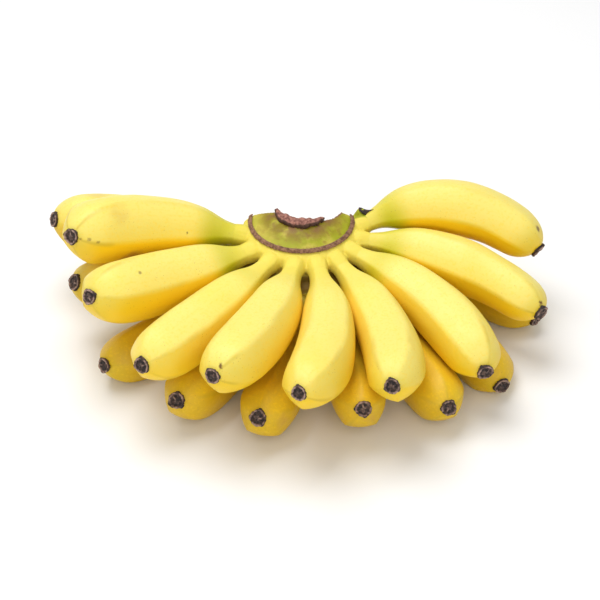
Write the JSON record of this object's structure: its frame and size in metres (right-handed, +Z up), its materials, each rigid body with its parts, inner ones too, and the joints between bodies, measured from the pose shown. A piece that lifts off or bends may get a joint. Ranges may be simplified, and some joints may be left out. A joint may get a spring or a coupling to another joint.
{
  "type": "banana hand",
  "caption": "Hand of small dessert bananas: fanned rows of plump, curved yellow fingers grown from a green crown, lying on the bellies of its lower row.",
  "frame": {"origin": "on the resting surface, under the middle of the hand's bounding box", "axes": "+X to the right across the fan as seen from the fingertips, +Y from the fingertips towards the crown's cut back, +Z up from the resting surface"},
  "size_m": [0.2744, 0.1844, 0.0898],
  "materials": {
    "peel": "smooth, waxy, ripe yellow peel",
    "blossom": "dry, dark and corky",
    "crown": "smooth, yellow-green",
    "cork": "dry, brown and fibrous"
  },
  "bodies": {
    "root": {"crown": "crown", "bract_scar": "cork", "cut_scar": "cork", "finger_upper_1": "peel", "blossom_end_upper_1": "blossom", "finger_upper_2": "peel", "blossom_end_upper_2": "blossom", "finger_upper_3": "peel", "blossom_end_upper_3": "blossom", "finger_upper_4": "peel", "blossom_end_upper_4": "blossom", "finger_upper_5": "peel", "blossom_end_upper_5": "blossom", "finger_upper_6": "peel", "blossom_end_upper_6": "blossom", "finger_upper_7": "peel", "blossom_end_upper_7": "blossom", "finger_upper_8": "peel", "blossom_end_upper_8": "blossom", "finger_upper_9": "peel", "blossom_end_upper_9": "blossom", "finger_lower_1": "peel", "blossom_end_lower_1": "blossom", "finger_lower_2": "peel", "blossom_end_lower_2": "blossom", "finger_lower_3": "peel", "blossom_end_lower_3": "blossom", "finger_lower_4": "peel", "blossom_end_lower_4": "blossom", "finger_lower_5": "peel", "blossom_end_lower_5": "blossom", "finger_lower_6": "peel", "blossom_end_lower_6": "blossom", "finger_lower_7": "peel", "blossom_end_lower_7": "blossom", "finger_lower_8": "peel", "blossom_end_lower_8": "blossom", "finger_lower_9": "peel", "blossom_end_lower_9": "blossom"}
  },
  "joints": []
}
